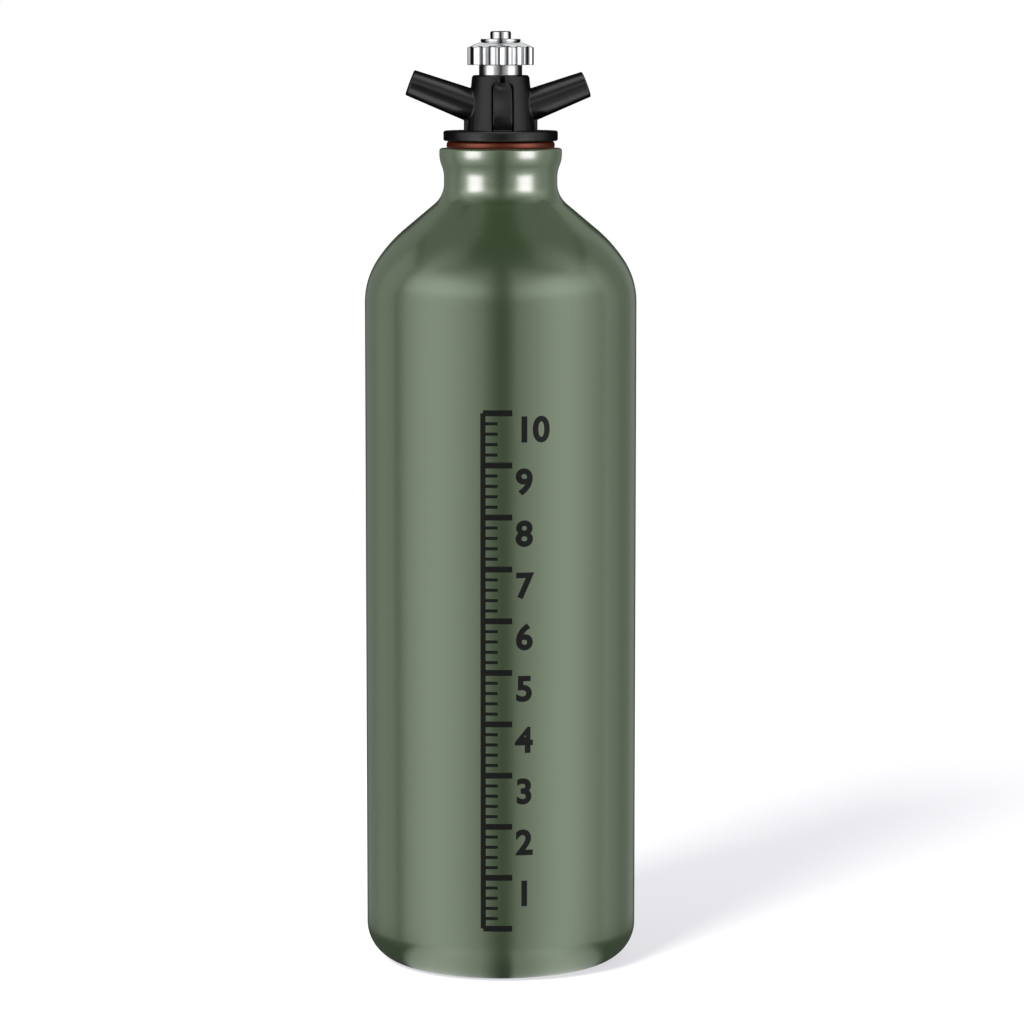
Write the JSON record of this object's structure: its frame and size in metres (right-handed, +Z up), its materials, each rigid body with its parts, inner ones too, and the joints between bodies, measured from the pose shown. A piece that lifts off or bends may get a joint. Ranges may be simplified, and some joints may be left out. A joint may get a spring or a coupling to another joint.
{
  "type": "fuel bottle",
  "caption": "Drawn metal fuel bottle with a screw cap that has two angled pouring spouts and a spring-closed valve under a fluted thumb knob.",
  "frame": {"origin": "on the bottle's axis, in the plane of the ring that it stands on", "axes": "+Z up along the bottle's axis, the spouts point along +X and -X, the front faces -Y"},
  "size_m": [0.08, 0.08, 0.2756],
  "materials": {
    "olive_paint": "satin",
    "red_rubber": "satin",
    "black_plastic": "satin",
    "turned_steel": "brushed",
    "polished_chrome": "polished",
    "black_rubber": "matte",
    "spring_wire": "drawn wire",
    "yellow_brass": "turned"
  },
  "bodies": {
    "bottle": {"bottle_shell": "olive_paint"},
    "seal": {"cap_seal": "red_rubber"},
    "cap": {"cap_body": "black_plastic", "guide_collar": "turned_steel", "gland_washer": "turned_steel", "stem_seal": "black_rubber", "return_spring": "spring_wire"},
    "stem": {"valve_stem": "polished_chrome", "stop_washer": "polished_chrome", "valve_gasket": "black_rubber", "valve_disc": "yellow_brass", "valve_nut": "yellow_brass"},
    "spring_seat": {"spring_washer": "turned_steel"},
    "knob": {"thumb_knob": "polished_chrome"}
  },
  "joints": [
    {"name": "cap_lift", "type": "slide", "parent": "bottle", "child": "seal", "axis": [0, 0, 1], "range_m": [0, 0.03]},
    {"name": "cap_turn", "type": "hinge", "parent": "seal", "child": "cap", "pos_m": [0, 0, 0.2436], "axis": [0, 0, 1], "range_deg": [0, 3600]},
    {"name": "stem_press", "type": "slide", "parent": "cap", "child": "stem", "axis": [0, 0, 1], "range_m": [-0.0012, 0], "stiffness_N_per_m": 4000, "springref_m": 0.0015, "deforming": ["return_spring"]},
    {"name": "knob_descent", "type": "slide", "parent": "stem", "child": "spring_seat", "axis": [0, 0, 1], "range_m": [-0.0012, 0], "deforming": ["return_spring"]},
    {"name": "knob_turn", "type": "hinge", "parent": "spring_seat", "child": "knob", "pos_m": [0, 0, 0.269], "axis": [0, 0, 1], "range_deg": [-540, 0]}
  ],
  "couplings": [
    {"joint": "cap_lift", "follows": "cap_turn", "m_per_rad": 0.00047746},
    {"joint": "knob_descent", "follows": "knob_turn", "m_per_rad": 0.00012732}
  ]
}
